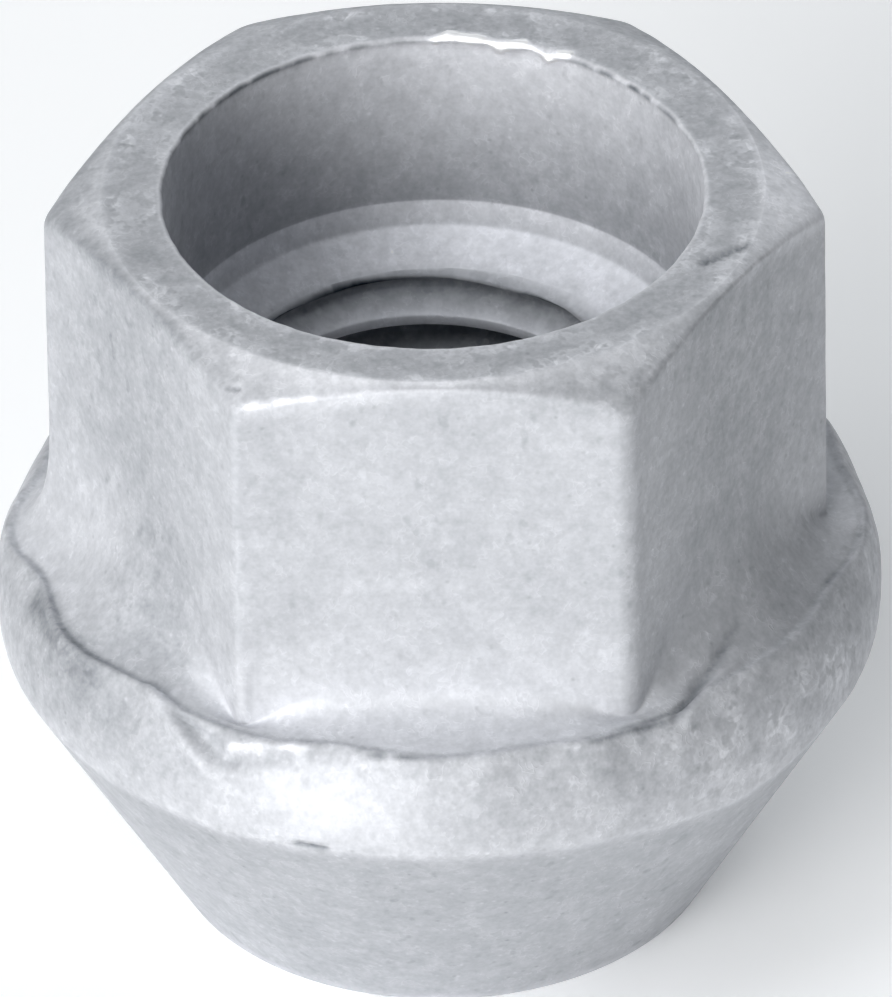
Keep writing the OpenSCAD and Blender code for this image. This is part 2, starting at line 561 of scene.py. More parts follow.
# The lip that drilling left on the first turn: its width, the band of painted shadow under it, and how far it
# stands in
LIP_RUN_OUT = 0.1 * MM
LIP_WIDTH = 0.13 * MM
SHADOW_BELOW_LIP = 0.14 * MM
LIP_SHADOW_WIDTH = 0.1 * MM
LIP_LEAST = 0.03 * MM
LIP_RAGGED = 0.18 * MM
LIP_NOISE = {"level": 5.0, "scale": 9.0, "detail": 3.0}

# Finish of the thread: its tone on the crests, which is painted light, how much painted shade darkens roots,
# the band under the lip and the lower bore, and the heights between which the bore's painted shade comes in
THREAD_RUB = 0.15
THREAD_ROUGH = 0.15
THREAD_TONE = 0.3
ROOT_PAINTED_SHADE = 0.75
LIP_SHADE = 0.7
BORE_PAINTED_SHADE = 0.45
BORE_DARK_FROM = 14.2 * MM
BORE_DARK_FULL = 12.4 * MM


def looked_up(tree, index, values):
    """The value at that index."""
    switch = tree.node("GeometryNodeIndexSwitch", {"data_type": "FLOAT"})
    node = switch.socket.node
    while len(node.index_switch_items) < len(values):
        node.index_switch_items.new()
    tree.feed(node.inputs["Index"], index)
    for place, value in enumerate(values):
        node.inputs[place + 1].default_value = value
    return switch


def add_thread(skin, floor_radius, lead_radius):
    """Adds the helical thread: a strip wound down the bore, held back where floor or lead-in cut it away."""
    tree = skin.tree
    rows = len(THREAD_SECTION) - 1
    strip = unit_grid(tree, THREAD_TURNS * THREAD_COLUMNS, rows)
    angle, _ = turn_about_axis(tree, skin.column * (SIDES * THREAD_TURNS))
    pitch = skin.inlet["Thread pitch"]
    step = (skin.row * rows + 0.5).calc("FLOOR")
    fall, depth = (looked_up(tree, step, values) for values in zip(*THREAD_SECTION))
    turns_up = math.floor(CREST_HEIGHT / skin.sizes.thread_pitch) + 1
    foot = CREST_HEIGHT + pitch * (CREST_MIDDLE - CREST_AZIMUTH / 360 - turns_up)
    height = foot + angle * pitch / (2 * math.pi) - fall * pitch
    height = height.calc("MINIMUM", THREAD_TOP).calc("MAXIMUM", THREAD_FOOT)
    radius = blend_number(depth, skin.inlet["Thread crest radius"], skin.inlet["Thread root radius"])
    under_top = ((THREAD_TOP - height) / LIP_RUN_OUT).calc("MINIMUM", 1.0)
    past_floor = floor_radius(height) - radius
    lip = bell(past_floor, LIP_WIDTH) * under_top
    # Band of painted shadow just under the lip
    lip_shadow = bell(past_floor + SHADOW_BELOW_LIP, LIP_SHADOW_WIDTH) * under_top
    ragged = round_noise(tree, angle, **LIP_NOISE)
    radius = radius.calc("MAXIMUM", floor_radius(height)).calc("MAXIMUM", lead_radius(height))
    radius = radius - lip * (LIP_LEAST + ragged * LIP_RAGGED)
    # Painted light on the crests, and painted shade in the roots, under the lip and down the bore
    down = step_up(-height, -BORE_DARK_FROM, -BORE_DARK_FULL)
    tone = THREAD_TONE - depth * ROOT_PAINTED_SHADE - down * BORE_PAINTED_SHADE - lip_shadow * LIP_SHADE
    strip = with_finish(tree, strip, tree.vector(THREAD_RUB, THREAD_ROUGH, tone))
    skin.meshes.append(wrapped(tree, strip, tree.vector(radius, 0.0, height), angle))


# The crease: its radius between the hexagon's corners, the ears at the corners, the swell under each flat,
# and where it strays on this nut, as azimuth and spread in degrees and millimetres outward and upward
CREASE_R = 11.25 * MM
EAR_SPREAD = math.radians(9)
EAR_REACH = 0.56 * MM
EAR_DROP = 0.05 * MM
SWELL_SPREAD = math.radians(11)
SWELL_REACH = 0.25 * MM
CREASE_STRAYS = (
    (185, 6, 0.2, -0.25), (209, 9, 0.22, 0.0), (240, 6, -0.5, -0.15), (256, 4, -0.15, 0.0),
    (263, 4, -0.12, 0.0), (300, 6, -0.4, 0.0), (310, 4, -0.1, 0.0), (350, 6, 0.24, -0.1),
    (20, 8, 0.15, 0.1), (75, 7, -0.15, 0.0), (112, 9, 0.2, -0.1), (150, 8, 0.15, 0.05))
CREASE_WIDTH = 0.12 * MM

# Where the crease carries painted shade, as azimuth and spread in degrees and strength, and how dark that
# painted shade is there where the roll is thin. The crease is deepest where it is shaded, and has a share of
# that depth elsewhere
PAINTED_CREASE_SHADES = ((206, 20, 1.0), (305, 9, 1.0), (345, 10, 1.0), (40, 14, 1.0), (130, 18, 1.0))
CREASE_SHADE_LEAST = 0.6
CREASE_DIP = 0.05 * MM
FAINT_DIP = 0.1

# The roll that the flange forms along the crease: its width and height, and the noise that varies both
ROLL_WIDTH = 0.22 * MM
ROLL_HEIGHT = 0.05 * MM
ROLL_NOISE = {"level": 0.0, "scale": 6.0, "detail": 2.0}
ROLL_GAIN = 1.6
ROLL_LOSS = 0.3
ROLL_WIDTH_LEAST = 0.6
ROLL_WIDTH_SWING = 0.8
ROLL_HEIGHT_LEAST = 0.15

# How far from an upright edge the chamfer's edge is worn rounder, and how much of the flat its bend takes
TOP_CORNER_SPREAD = math.radians(5)
CHAMFER_BEND = 0.2
WORN_CHAMFER_BEND = 0.5

# The flare: how steeply it rises from the crease under the front flat and under the others, given as azimuth
# and spread in degrees and share, how far it climbs the flats, and how deep the corners stand in the flange
FLARE_SLOPE = math.tan(math.radians(4))
STEEP_FLARE = math.tan(math.radians(36))
STEEP_FLARES = ((208, 28, 1.0), (332, 28, 1.0), (32, 18, 0.6), (90, 18, 0.3), (150, 20, 0.8))
FLARE_CLIMB = 0.6 * MM
STEEP_CLIMB = 1.7 * MM
CLIMB_AT_EAR = 0.12
STEEP_CLIMB_AT_EAR = 0.1
CORNER_SINK = 0.35 * MM
FLAT_START = 3.4 * MM
FLAT_END = 0.6 * MM

# The ear at the left corner, which was drawn higher up the hexagon
LEFT_EAR_AZIMUTH = 182
LEFT_EAR_SPREAD = 12
LEFT_EAR_CLIMB = 2.3 * MM
LEFT_EAR_RISE = 0.9 * MM

# The seat's edge runs higher at the front and lower to the right, as azimuth and spread in degrees and
# millimetres. It is ragged all round and moves out as it rises. The cone's two ends are a share of it each
SEAT_EDGE_STRAYS = ((272, 26, 0.22), (315, 14, -0.35))
SEAT_EDGE_NOISE = {"level": 3.0, "scale": 14.0, "detail": 3.0}
SEAT_EDGE_RAGGED = 0.3 * MM
SEAT_EDGE_OUTWARD = 0.3
SEAT_END = 0.05

# Corner that the flange's bulge bends round, beyond the seat's edge
BULGE_REACH = 0.16 * MM
BULGE_RISE = 1.75 * MM

# The mouth: how ragged its edge is, where a painted shadow darkens it, as azimuth and spread in degrees and
# strength, with the noise levels over which it comes in, and the widths of the rows that hold the finishes of
# the top face and the upper wall apart
MOUTH_NOISE = {"level": 7.0, "scale": 11.0, "detail": 4.0}
MOUTH_RAGGED = 0.12 * MM
PAINTED_MOUTH_SHADOWS = ((135, 35, 1.0), (42, 20, 1.0))
MOUTH_SHADOW_RISE = (0.38, 0.52)
TOP_EDGE_WIDTH = 0.2 * MM
TOP_MIDDLE = 0.5
MOUTH_BORDER = 0.12 * MM
MOUTH_UNDERCUT = 0.03 * MM
UNDERCUT_DEPTH = 0.16 * MM
WALL_START = 0.5 * MM
WALL_FOOT_HEIGHT = 0.05 * MM
FLOOR_RIM_DROP = 0.05 * MM

# Slopes of the drilled floor and of the lead-in, as radius for each step of height
FLOOR_SLOPE = math.tan(math.radians(60))
LEAD_SLOPE = math.tan(math.radians(45))


def bell(off, spread):
    """1 where off is nothing, falling away over spread."""
    ratio = off / spread
    return (-(ratio * ratio)).calc("EXPONENT")


def step_up(term, low, high):
    """0 below low, 1 above high, and a straight rise between them."""
    return ((term - low) / (high - low)).calc("MAXIMUM", 0.0).calc("MINIMUM", 1.0)


def blend_number(share, first, second):
    """Number between two numbers, share being how much there is of the second."""
    return first + (second - first) * share


def patched(tree, angle, finish, patches):
    """Finish that varies round the nut: a plain one with patches laid over it."""
    for patch in patches:
        finish = tree.mixed(tree.bump_round(angle, patch.azimuth, patch.spread), finish, patch.finish)
    return finish


def nut_tree(sizes):
    """Tree of the whole nut: its section from the lead-in over seat, flange and hexagon and down the bore."""
    skin = NutSkin(sizes)
    tree, inlet = skin.tree, skin.inlet
    hexagon_r, nearness, angle = skin.hexagon_r, skin.nearness, skin.angle
    top = inlet["Height"]

    # The crease spreads at the hexagon's corners, draws in beside them and swells again under each flat
    corner_ear = bell((1 - nearness) * HALF_SIDE, EAR_SPREAD)
    flat_swell = bell(nearness * HALF_SIDE, SWELL_SPREAD)
    crease_r = CREASE_R + corner_ear * EAR_REACH + flat_swell * SWELL_REACH
    crease_z = inlet["Crease height"] - corner_ear * EAR_DROP
    for at, spread, outward, upward in CREASE_STRAYS:
        stray = tree.bump_round(angle, at, spread)
        crease_r = crease_r + stray * (outward * MM)
        crease_z = crease_z + stray * (upward * MM)

    # The flare rises from the crease to the foot of each flat and climbs it
    steep = tree.bumps_round(angle, STEEP_FLARES)
    slope = FLARE_SLOPE + steep * (STEEP_FLARE - FLARE_SLOPE)
    foot_z = crease_z + (crease_r - hexagon_r) * slope - corner_ear * CORNER_SINK
    climb = FLARE_CLIMB * (1 + CLIMB_AT_EAR - corner_ear)
    climb = climb + steep * (1 + STEEP_CLIMB_AT_EAR - corner_ear) * STEEP_CLIMB
    left_ear = tree.bump_round(angle, LEFT_EAR_AZIMUTH, LEFT_EAR_SPREAD)
    foot_z = foot_z + left_ear * LEFT_EAR_RISE
    climb = climb + left_ear * LEFT_EAR_CLIMB

    # The roll runs along the crease, whose painted shade is darkest and which is deepest beside the thick
    # parts of it
    roll = round_noise(tree, angle, **ROLL_NOISE) * ROLL_GAIN - ROLL_LOSS
    ridge_r = crease_r + ROLL_WIDTH * (ROLL_WIDTH_LEAST + roll * ROLL_WIDTH_SWING)
    ridge_z = crease_z + ROLL_HEIGHT * roll.calc("MAXIMUM", ROLL_HEIGHT_LEAST)
    crease_shade = tree.bumps_round(angle, PAINTED_CREASE_SHADES) * (roll + CREASE_SHADE_LEAST)
    crease_shade = crease_shade.calc("MINIMUM", 1.0)
    crease_dip = CREASE_DIP * (FAINT_DIP + crease_shade)

    edge_rise = tree.bumps_round(angle, SEAT_EDGE_STRAYS) * MM
    edge_noise = round_noise(tree, angle, **SEAT_EDGE_NOISE) - NOISE_MIDDLE
    edge_rise = edge_rise + edge_noise * SEAT_EDGE_RAGGED
    nose_r = inlet["Nose radius"]
    seat_z = inlet["Seat height"] + edge_rise
    seat_r = inlet["Seat radius"] + edge_rise * SEAT_EDGE_OUTWARD
    bulge_r = inlet["Seat radius"] + BULGE_REACH
    bulge_z = inlet["Seat height"] + BULGE_RISE

    chamfer_r = inlet["Chamfer circle"]
    chamfer_z = top - (hexagon_r - chamfer_r) * inlet["Chamfer slope"].calc("TANGENT")
    top_corner = bell((1 - nearness) * HALF_SIDE, TOP_CORNER_SPREAD)

    wall_r = inlet["Counterbore radius"]
    bevel = inlet["Mouth bevel"]
    torn = round_noise(tree, angle, **MOUTH_NOISE)
    mouth_r = wall_r + (torn - NOISE_MIDDLE) * MOUTH_RAGGED
    # Painted shadow on the mouth's edge on the far sides, where the ragged noise is high
    mouth_shadow = tree.bumps_round(angle, PAINTED_MOUTH_SHADOWS) * step_up(torn, *MOUTH_SHADOW_RISE)
    wall_foot_z = top - inlet["Counterbore depth"]
    band_foot_r = wall_r - inlet["Band inset"]
    band_foot_z = wall_foot_z - inlet["Band height"]
    floor_rim_z = band_foot_z - FLOOR_RIM_DROP

    def floor_radius(height):
        return band_foot_r - (band_foot_z - height) * FLOOR_SLOPE

    def lead_radius(height):
        return inlet["Lead-in radius"] - height * LEAD_SLOPE

    # Painted shade in the crease
    crease_finish = tree.mixed(crease_shade, FAINT_CREASE_SHADE, CREASE_PAINTED_SHADE)
    # Painted highlight on the mouth's edge, or a painted shadow where it is shadowed
    mouth_finish = tree.mixed(mouth_shadow.calc("MINIMUM", 1.0), MOUTH_EDGE_RUBBED_AND_LIT, MOUTH_EDGE_PAINTED_SHADOW)
    bulge_finish = patched(tree, angle, BULGE, BULGE_PATCHES)
    flare_finish = patched(tree, angle, FLARE, FLARE_PATCHES)
    fillet_finish = patched(tree, angle, flare_finish, FILLET_PATCHES)
    flat_finish = patched(tree, angle, FLAT, FLAT_PATCHES)
    edge_finish = patched(tree, angle, CHAMFER_EDGE, CHAMFER_EDGE_PATCHES)
    chamfer_finish = patched(tree, angle, CHAMFER, CHAMFER_PATCHES)
    wall_finish = patched(tree, angle, WALL, WALL_PATCHES)
    chamfer_bend = CHAMFER_BEND + top_corner * WORN_CHAMFER_BEND
    corners = [
        Corner(lead_radius(THREAD_FOOT), THREAD_FOOT, LEAD, line_rows=3),
        Corner(inlet["Lead-in radius"], 0.0, LEAD, 0.3, 0.08, 3, 2),
        Corner(nose_r, 0.0, NOSE, 0.2, 0.03, 4, 1),
        Corner(blend_number(SEAT_END, nose_r, seat_r), seat_z * SEAT_END, SEAT, 0.3, 0.05, 2, 8),
        Corner(blend_number(1 - SEAT_END, nose_r, seat_r), seat_z * (1 - SEAT_END), SEAT, 0.05, 0.3, 2, 1),
        Corner(seat_r, seat_z, SEAT_EDGE, 0.2, 0.04, 5, 2),
        Corner(bulge_r, bulge_z, bulge_finish, 0.88, 0.82, 20, 2),
        Corner(ridge_r, ridge_z, ROLL, 0.16, 0.45, 5, 1),
        Corner(crease_r, crease_z - crease_dip, crease_finish, 0.4, 0.4, 4, 1),
        Corner(crease_r - CREASE_WIDTH, crease_z, flare_finish, 0.4, 0.08, 3, 1),
        Corner(hexagon_r, foot_z, fillet_finish, 0.75, climb / FLAT_START, 14, 3),
        Corner(hexagon_r, foot_z + FLAT_START, flat_finish, 0.04, 0.03, 2, 24),
        Corner(hexagon_r, chamfer_z - FLAT_END, flat_finish, 0.02, 0.2, 2, 1),
        Corner(hexagon_r, chamfer_z, edge_finish, chamfer_bend, 0.3, 6, 9),
        Corner(chamfer_r, top, chamfer_finish, 0.25, 0.05, 3, 1),
        Corner(chamfer_r - TOP_EDGE_WIDTH, top, TOP_EDGE, 0.3, 0.2, 2, 3),
        Corner(blend_number(TOP_MIDDLE, mouth_r, chamfer_r), top, TOP, 0.2, 0.2, 2, 3),
        Corner(mouth_r + bevel + MOUTH_BORDER, top, MOUTH, 0.06, 0.3, 2, 1),
        Corner(mouth_r + bevel, top, MOUTH_LIP, 0.4, 0.4, 3, 1),
        Corner(mouth_r, top - bevel, mouth_finish, 0.4, 0.3, 3, 1),
        Corner(mouth_r + MOUTH_UNDERCUT, top - bevel - UNDERCUT_DEPTH, wall_finish, 0.3, 0.3, 2, 1),
        Corner(wall_r, top - bevel - WALL_START, wall_finish, 0.3, 0.02, 2, 9),
        Corner(wall_r, wall_foot_z + WALL_FOOT_HEIGHT, WALL_FOOT, 0.02, 0.3, 2, 1),
        Corner(wall_r, wall_foot_z, BAND, 0.4, 0.1, 2, 2),
        Corner(band_foot_r, band_foot_z, BAND_FOOT, 0.1, 0.3, 3, 1),
        Corner(floor_radius(floor_rim_z), floor_rim_z, FLOOR_RIM, 0.3, 0.04, 2, 7),
        Corner(floor_radius(THREAD_TOP), THREAD_TOP, FLOOR),
    ]
    skin.section(corners, angle_at_start=skin.thread_angle, angle_at_end=skin.thread_angle)
    add_thread(skin, floor_radius, lead_radius)

    whole = tree.node("GeometryNodeJoinGeometry")
    for mesh in skin.meshes:
        tree.bl_tree.links.new(mesh.socket, whole.socket.node.inputs[0])
    whole = tree.node("GeometryNodeMergeByDistance", None, {"Geometry": whole, "Distance": MERGE_DISTANCE})
    whole = worked(tree, whole, inlet["Unevenness"])
    whole = tree.node("GeometryNodeSetShadeSmooth", None, {"Geometry": whole, "Shade Smooth": True})
    whole = tree.node("GeometryNodeRealizeInstances", None, {"Geometry": whole})
    whole = tree.node("GeometryNodeSetMaterial", None, {"Geometry": whole, "Material": inlet["Material"]})
    outlet = tree.bl_tree.nodes.new("NodeGroupOutput")
    tree.feed(outlet.inputs["Mesh"], whole)
    return tree.bl_tree


class Mark(typing.NamedTuple):
    """A dent, scratch or fold along a short line: both ends as azimuth in degrees, radius and height in
    millimetres, then its width and its depth in millimetres, a ridge being less than nothing, how bright it
    is rubbed, and how much lighter in tone it is, that tone being painted light or painted shade"""

    start: tuple
    end: tuple
    width: float
    depth: float
    rub: float
    tone: float = 0.0


MARKS = (
    # Fold of the flange under the left front corner, the hollow beside it, and the roll from it: painted
    # light on fold and roll, the roll also rubbed, and painted shade in the hollow
    Mark((226.0, 11.55, 11.35), (230.6, 11.83, 11.04), 0.24, -0.18, 0.0, 0.12),
    Mark((232.4, 11.93, 10.88), (238.2, 12.26, 10.1), 0.26, -0.2, 0.0, 0.14),
    Mark((232.5, 11.72, 11.05), (235.6, 11.86, 10.9), 0.22, 0.18, 0.0, -0.14),
    Mark((237.4, 11.94, 10.77), (241.2, 12.1, 10.45), 0.26, 0.18, 0.0, -0.14),
    Mark((241.0, 11.88, 10.78), (245.0, 11.81, 11.01), 0.22, -0.1, 0.45, 0.25),
    Mark((246.3, 11.77, 11.06), (252.0, 11.58, 11.22), 0.12, -0.05, 0.3, 0.15),
    Mark((242.5, 12.0, 10.58), (250.0, 11.9, 10.88), 0.2, 0.1, 0.0, -0.08),
    # Painted shade on the flange under the left crease
    Mark((198.0, 11.95, 11.0), (216.0, 11.95, 10.95), 0.42, 0.0, 0.0, -0.32),
    # Fold under the right front corner, and the lip beside it: painted shade in the fold and painted light on
    # the lip
    Mark((292.0, 11.7, 11.2), (298.6, 11.62, 11.16), 0.1, 0.04, 0.0, -0.3),
    Mark((299.4, 11.63, 11.15), (304.0, 11.68, 11.06), 0.13, 0.1, 0.0, -0.42),
    Mark((305.0, 11.64, 11.06), (308.9, 11.26, 11.13), 0.15, 0.17, 0.0, -0.46),
    Mark((310.1, 11.16, 11.16), (313.6, 10.92, 11.3), 0.15, 0.17, 0.0, -0.44),
    Mark((314.8, 10.85, 11.35), (322.0, 10.47, 11.7), 0.16, 0.13, 0.0, -0.35),
    Mark((306.0, 11.85, 11.0), (311.7, 11.37, 11.13), 0.2, -0.12, 0.0, 0.1),
    Mark((313.3, 11.25, 11.18), (320.0, 10.85, 11.45), 0.22, -0.1, 0.0, 0.07),
    Mark((345.0, 11.4, 11.6), (356.0, 11.9, 11.3), 0.2, 0.12, 0.0, -0.4),
    # Pits at the front of the crease and the notch in the seat's edge, darkened with painted shade
    Mark((261.7, 11.58, 11.28), (262.6, 11.58, 11.28), 0.14, 0.1, 0.0, -0.5),
    Mark((264.8, 11.6, 11.27), (267.0, 11.6, 11.27), 0.1, 0.06, 0.0, -0.35),
    Mark((251.5, 12.42, 8.42), (255.5, 12.42, 8.42), 0.1, 0.09, 0.0, -0.6),
    # Run of the chamfer's edge beside the front left corner, rubbed bright and lighter still as a painted
    # highlight
    Mark((240.6, 10.75, 21.6), (251.0, 9.98, 21.98), 0.1, -0.02, 0.5, 0.2),
    # Nicks, dents and scratches of the hexagon; a lighter tone on them is painted light, a darker one painted
    # shade
    Mark((237.2, 10.36, 21.74), (239.2, 10.3, 21.8), 0.2, -0.05, 0.0, 0.3),
    Mark((237.4, 10.36, 21.74), (239.0, 10.3, 21.8), 0.1, 0.12, 0.0, -0.6),
    Mark((240.3, 10.9, 15.5), (240.2, 10.9, 14.7), 0.22, 0.07, 0.2),
    Mark((233.7, 10.38, 19.6), (233.7, 10.38, 19.3), 0.16, 0.05, 0.0),
    Mark((249.9, 10.12, 20.75), (250.3, 10.1, 20.65), 0.14, 0.04, 0.0),
    Mark((205.4, 10.1, 12.5), (206.6, 10.1, 11.9), 0.14, 0.05, 0.0),
    Mark((233.4, 10.35, 17.7), (232.0, 10.25, 13.0), 0.13, 0.025, 0.0),
    Mark((253.0, 9.93, 15.64), (278.0, 9.59, 15.5), 0.22, -0.03, 0.1, 0.05),
    Mark((269.0, 9.5, 17.9), (271.5, 9.5, 17.0), 0.12, 0.03, 0.2),
    Mark((334.4, 8.33, 22.3), (343.5, 9.19, 22.3), 0.13, 0.07, 0.0, -0.5),
    Mark((213.3, 9.54, 14.8), (213.6, 9.54, 14.35), 0.14, 0.06, 0.0, -0.08),
    Mark((229.8, 10.1, 16.1), (230.2, 10.1, 15.6), 0.12, 0.06, 0.0, -0.1),
    Mark((206.9, 10.15, 12.7), (208.3, 10.3, 12.35), 0.14, 0.07, 0.0, -0.12),
    Mark((211.5, 10.5, 12.25), (209.8, 10.6, 11.95), 0.1, 0.05, 0.0, -0.1),
    Mark((225.5, 10.2, 12.2), (227.5, 10.5, 11.6), 0.12, 0.05, 0.0, -0.08),
    Mark((241.0, 10.86, 12.2), (241.8, 10.84, 12.0), 0.1, 0.05, 0.0, -0.14),
    Mark((243.2, 10.62, 12.75), (243.7, 10.6, 12.4), 0.1, 0.05, 0.0, -0.1),
    # Burr left on the far side of the mouth
    Mark((90.0, 7.62, 22.16), (87.0, 7.72, 22.3), 0.13, -0.07, 1.2, 0.3),
    Mark((87.0, 7.72, 22.3), (81.5, 7.64, 22.2), 0.17, -0.09, 1.2, 0.3),
    Mark((80.5, 7.68, 22.26), (76.0, 7.58, 22.08), 0.11, -0.07, 1.2, 0.3),
    Mark((76.0, 7.58, 22.08), (71.0, 7.7, 22.28), 0.18, -0.09, 1.2, 0.3),
    Mark((68.5, 7.66, 22.22), (65.0, 7.57, 22.04), 0.1, -0.07, 1.2, 0.3),
    Mark((65.0, 7.57, 22.04), (60.5, 7.7, 22.28), 0.16, -0.09, 1.2, 0.3),
    # Dent low on the seat
    Mark((273.7, 9.68, 3.5), (274.5, 9.68, 3.45), 0.16, 0.05, 0.0),
)


# How the forged skin strays, broadly and finely, and how much each counts
BROAD_STRAY = {"Scale": 0.28 / MM, "Detail": 1.0}
FINE_STRAY = {"Scale": 1.1 / MM, "Detail": 2.0}
BROAD_SHARE = 2.0
FINE_SHARE = 0.7

# Small dents strewn over the whole nut: how closely, how sharp and how deep
DENTS_PER_METRE = 0.55 / MM
DENT_SHARPNESS = 3.0
DENT_DEPTH = 0.06 * MM


def on_nut(place):
    """Point of the nut at that azimuth, radius and height."""
    azimuth, radius, height = place
    turn = math.radians(azimuth)
    return Vector((radius * math.cos(turn), radius * math.sin(turn), height)) * MM


def mark_group():
    """Node group that says how strongly a mark from one point to another is felt, 1 along its line."""
    bl_tree = bpy.data.node_groups.new("Mark", "GeometryNodeTree")
    vector = ("NodeSocketVector", None)
    group_sockets(
        bl_tree,
        {"Start": vector, "End": vector, "Width": ("NodeSocketFloat", MM)},
        {"Strength": "NodeSocketFloat"})
    tree = Tree(bl_tree)
    given = bl_tree.nodes.new("NodeGroupInput")
    start, end, width = (Term(tree, given.outputs[name]) for name in ("Start", "End", "Width"))
    here = tree.node("GeometryNodeInputPosition")
    line = tree.vector_calc("SUBTRACT", end, start)
    away = tree.vector_calc("SUBTRACT", here, start)
    along = tree.vector_calc("DOT_PRODUCT", away, line) / tree.vector_calc("DOT_PRODUCT", line, line)
    along = along.calc("MAXIMUM", 0.0).calc("MINIMUM", 1.0)
    nearest = tree.scaled(line, along)
    strength = bell(tree.vector_calc("DISTANCE", away, nearest), width)
    outlet = bl_tree.nodes.new("NodeGroupOutput")
    tree.feed(outlet.inputs["Strength"], strength)
    return bl_tree


def worked(tree, mesh, unevenness):
    """Lets the skin stray in and out, most where it was forged and left as it came, and adds the marks, whose
    tones paint light and shade.
    """
    finish = tree.node("GeometryNodeInputNamedAttribute", {"data_type": "FLOAT_VECTOR"}, {"Name": FINISH})
    rubbed, rough, tone = tree.parts(finish)
    position = tree.node("GeometryNodeInputPosition")
    broad = tree.node("ShaderNodeTexNoise", None, {"Vector": position, **BROAD_STRAY}) - NOISE_MIDDLE
    fine = tree.node("ShaderNodeTexNoise", None, {"Vector": position, **FINE_STRAY}) - NOISE_MIDDLE
    lift = (broad * BROAD_SHARE + fine * FINE_SHARE) * rough * unevenness
    strewn = {"Vector": position, "Scale": DENTS_PER_METRE}
    cells = tree.node("ShaderNodeTexVoronoi", {"feature": "F1"}, strewn)
    chance = tree.parts(tree.node_output(cells, "Color"))[0]
    dent = (1 - cells * DENT_SHARPNESS).calc("MAXIMUM", 0.0)
    lift = lift - dent * dent * chance * rough * DENT_DEPTH
    group = mark_group()
    for mark in MARKS:
        sockets = {"Start": on_nut(mark.start), "End": on_nut(mark.end), "Width": mark.width * MM}
        strength = tree.node("GeometryNodeGroup", {"node_tree": group}, sockets)
        lift = lift - strength * (mark.depth * MM)
        if mark.rub:
            rubbed = rubbed + strength * mark.rub
        # A mark's tone is painted light or painted shade
        if mark.tone:
            tone = tone + strength * mark.tone
    mesh = with_finish(tree, mesh, tree.vector(rubbed, rough, tone))
    offset = tree.scaled(tree.node("GeometryNodeInputNormal"), lift)
    return tree.node("GeometryNodeSetPosition", None, {"Geometry": mesh, "Offset": offset})


# What the coating turns towards where it is darker, and the lightness at which its two colours are given
COOL_SHADE = (-0.02, 0.0, 0.02)
DARK_LEVEL = 0.5
LIGHT_LEVEL = 1.5

# Patterns of the coating, as cycles per millimetre, detail and distortion
CLOUD = (0.45, 2.0, 0.0)
SWIRL = (1.5, 3.0, 0.0)
CURL = (3.4, 1.0, 0.0)
FLECK = (6.0, 1.0, 0.0)
GRAIN = (13.0, 0.0, 0.0)
SCUFF = (1.0, 3.0, 1.3)
STROKE = (1.4, 1.0, 0.0)
STROKE_TURN = (0.5, 0.6, 0.5)
STROKE_STRETCH = (1.5, 1.8, 1.0)
RUBBED_PATCH = (2.0, 2.0, 0.0)
SPECKS_PER_MM = 2.6
SPECK_SHARPNESS = 4.5

# Levels of a pattern between which a mark rises from nothing to full
PIT_RISE = (0.82, 0.9)
SPARK_RISE = (0.7, 0.78)
SCUFF_RISE = (0.17, 0.2)
STROKE_RISE = (0.16, 0.26)
SQUIGGLE_RISE = (-0.05, -0.01)
SQUIGGLE_PATCH_RISE = (0.02, 0.08)
TORN_RISE = (0.0, 0.08)
LACE_RISE = (-0.07, -0.02)
RUBBED_PATCH_RISE = (-0.06, 0.06)
WHOLLY_RUBBED_RISE = (0.5, 0.9)

# What roughness and cloud do to scuffs and torn skin
SCUFF_BY_ROUGH = 0.13
TORN_BY_CLOUD = 1.5
TORN_BY_ROUGH = 0.4
TORN_FROM_ROUGH = 0.7
LACE_FROM_ROUGH = 0.4
MOST_MOTTLED_ROUGH = 0.6

# How much lighter each pattern makes the coating: on smooth skin, and more of it with roughness
PLAIN_LIGHT = 0.985
CLOUD_LIGHT = (0.1, 0.2)
SWIRL_LIGHT = (0.12, 0.45)
CURL_LIGHT = (0.07, 0.3)
FLECK_LIGHT = (0.05, 0.22)
GRAIN_LIGHT = (0.04, 0.1)
SCUFF_LIGHT = (0.01, 0.15)

# How much lighter each mark makes the coating
SCRAPE_LIGHT = 0.07
SPARK_LIGHT = 0.18
RUBBED_LIGHT = 0.25
LACE_LIGHT = 0.35
SQUIGGLE_LIGHT = 0.06
PIT_LIGHT = -0.2
DENT_LIGHT = -0.1

# Gloss and fine relief
RUBBED_GAIN = 1.3
RUBBED_GLOSS = 0.3
SWIRL_ROUGHNESS = 0.15
SWIRL_RELIEF = 0.6
CURL_RELIEF = 0.6
SQUIGGLE_RELIEF = 0.4
RELIEF_STRENGTH = 0.5
RELIEF_DEPTH = 0.02 * MM


